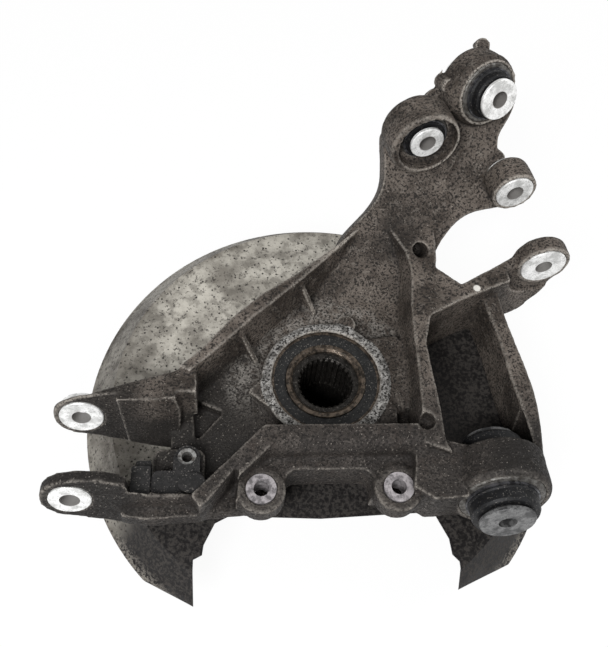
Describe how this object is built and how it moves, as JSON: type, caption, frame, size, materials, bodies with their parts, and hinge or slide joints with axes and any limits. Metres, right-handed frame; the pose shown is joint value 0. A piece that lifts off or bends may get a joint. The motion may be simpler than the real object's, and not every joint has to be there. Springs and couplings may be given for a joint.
{
  "type": "steering knuckle",
  "caption": "Cast rear wheel carrier with hub, wheel bearing, dust shield, fork, link arms and pressed-in ball joints for a multi-link axle.",
  "frame": {"origin": "centre of the hub's wheel face, on the wheel axis", "axes": "+Z along the wheel axis towards the middle of the car, X parallel to the line through the two caliper bolts, -Y towards those bolts"},
  "size_m": [0.382, 0.3967, 0.2196],
  "materials": {
    "casting": "sand-cast, dirty and oxidised",
    "shield_sheet": "zinc-coated sheet, weathered and dusty",
    "zinc_steel": "zinc plated",
    "insert_steel": "dark plated",
    "sleeve_steel": "bright, machined",
    "race_steel": "machined, dull",
    "boot_rubber": "matt, dusty",
    "clip_steel": "bright spring wire",
    "bearing_steel": "ground, stained",
    "cage_plastic": "moulded",
    "seal_rubber": "matt",
    "hub_steel": "forged and turned",
    "black_plastic": "moulded, dusty"
  },
  "bodies": {
    "carrier": {"knuckle_casting": "casting", "casting_upper_eye": "casting", "casting_middle_eye": "casting", "casting_side_eye": "casting", "casting_arm_eye": "casting", "casting_lower_eye": "casting", "casting_fork_far": "casting", "casting_fork_near": "casting", "casting_caliper_left": "casting", "casting_caliper_right": "casting", "casting_tray": "casting", "casting_barrel": "casting", "casting_long_wall": "casting", "casting_hub_beam": "casting", "casting_window_beam": "casting", "casting_link_arm": "casting", "casting_outer_wall": "casting", "casting_fork_block": "casting", "casting_fork_root": "casting", "dust_shield": "shield_sheet", "shield_screws": "zinc_steel", "sensor_sleeve": "zinc_steel", "caliper_insert_left": "insert_steel", "caliper_insert_right": "insert_steel", "side_eye_sleeve": "sleeve_steel", "arm_eye_sleeve": "sleeve_steel", "fork_sleeve_far": "sleeve_steel", "fork_sleeve_near": "sleeve_steel", "upper_joint_race": "race_steel", "middle_joint_race": "race_steel", "lower_joint_race": "race_steel", "upper_joint_boot_outer": "boot_rubber", "upper_joint_boot_inner": "boot_rubber", "middle_joint_boot_outer": "boot_rubber", "middle_joint_boot_inner": "boot_rubber", "lower_joint_boot_outer": "boot_rubber", "lower_joint_boot_inner": "boot_rubber", "upper_joint_clip_outer": "clip_steel", "upper_joint_clip_inner": "clip_steel", "middle_joint_clip_outer": "clip_steel", "middle_joint_clip_inner": "clip_steel", "lower_joint_clip_outer": "clip_steel", "lower_joint_clip_inner": "clip_steel", "bearing_circlip": "clip_steel", "bearing_outer_ring": "bearing_steel", "bearing_seal_inboard": "seal_rubber", "bearing_seal_outboard": "seal_rubber", "speed_sensor": "black_plastic", "sensor_plug": "black_plastic"},
    "hub": {"wheel_hub": "hub_steel", "bearing_inner_ring_inboard": "bearing_steel", "bearing_inner_ring_outboard": "bearing_steel"},
    "ball_cages": {"bearing_balls_inboard": "bearing_steel", "bearing_balls_outboard": "bearing_steel", "bearing_cage_inboard": "cage_plastic", "bearing_cage_outboard": "cage_plastic"},
    "upper_sleeve": {"upper_joint_sleeve": "sleeve_steel"},
    "middle_sleeve": {"middle_joint_sleeve": "sleeve_steel"},
    "lower_sleeve": {"lower_joint_sleeve": "sleeve_steel"}
  },
  "joints": [
    {"name": "hub_spin", "type": "hinge", "parent": "carrier", "child": "hub", "pos_m": [0, 0, 0], "axis": [0, 0, 1], "continuous": true},
    {"name": "cage_spin", "type": "hinge", "parent": "carrier", "child": "ball_cages", "pos_m": [0, 0, 0], "axis": [0, 0, 1], "continuous": true},
    {"name": "upper_sleeve_turn", "type": "hinge", "parent": "carrier", "child": "upper_sleeve", "pos_m": [0.129, 0.1783, 0.1919], "axis": [0.3892, -0.8482, 0.3592], "continuous": true},
    {"name": "middle_sleeve_turn", "type": "hinge", "parent": "carrier", "child": "middle_sleeve", "pos_m": [0.0768, 0.1559, 0.1684], "axis": [0.2196, -0.9682, 0.1198], "continuous": true},
    {"name": "lower_sleeve_turn", "type": "hinge", "parent": "carrier", "child": "lower_sleeve", "pos_m": [0.115, -0.1103, 0.0965], "axis": [0, -0.9778, 0.2095], "continuous": true}
  ],
  "couplings": [
    {"joint": "cage_spin", "follows": "hub_spin", "ratio": 0.417}
  ]
}
